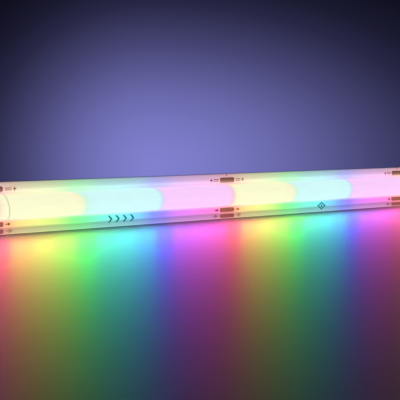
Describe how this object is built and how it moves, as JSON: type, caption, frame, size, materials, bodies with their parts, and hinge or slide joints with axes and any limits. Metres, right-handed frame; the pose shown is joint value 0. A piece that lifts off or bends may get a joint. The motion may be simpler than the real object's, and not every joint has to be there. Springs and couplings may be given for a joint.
{
  "type": "flexible led tape",
  "caption": "Flexible pixel light tape: white laminated circuit with a continuous silicone dome, solder pads at each cut line and an adhesive back.",
  "frame": {"origin": "centre of the mounting tape's back face, midway along the length and across the width", "axes": "+X along the tape; +Y out of the adhesive back, so the light leaves towards -Y; +Z across the width towards the supply edge"},
  "size_m": [0.2222, 0.0028, 0.01],
  "materials": {
    "adhesive": "tacky, slightly milky",
    "carrier_film": "satin film",
    "coverlay": "satin white",
    "base_film": "satin amber",
    "copper": "bright",
    "pad_plating": "dull, lightly oxidised",
    "solder": "satin",
    "red_chip": "polished",
    "green_chip": "polished",
    "blue_chip": "polished",
    "driver_body": "moulded",
    "capacitor_body": "matte",
    "resistor_body": "matte",
    "silicone": "translucent satin, lit from inside"
  },
  "bodies": {
    "root": {"tape_adhesive_rear": "adhesive", "tape_adhesive_front": "adhesive", "tape_carrier": "carrier_film", "rear_coverlay": "coverlay", "front_coverlay": "coverlay", "base_film": "base_film", "rear_copper_supply": "copper", "rear_copper_ground": "copper", "supply_vias": "copper", "ground_vias": "copper", "front_supply_bus": "copper", "front_ground_bus": "copper", "data_traces": "copper", "chip_lands": "copper", "component_lands": "copper", "supply_pads": "pad_plating", "data_pads": "pad_plating", "ground_pads": "pad_plating", "chip_solder": "solder", "component_solder": "solder", "red_chips": "red_chip", "green_chips": "green_chip", "blue_chips": "blue_chip", "driver_chips": "driver_body", "capacitors": "capacitor_body", "resistors": "resistor_body", "silicone_dome": "silicone"}
  },
  "joints": []
}
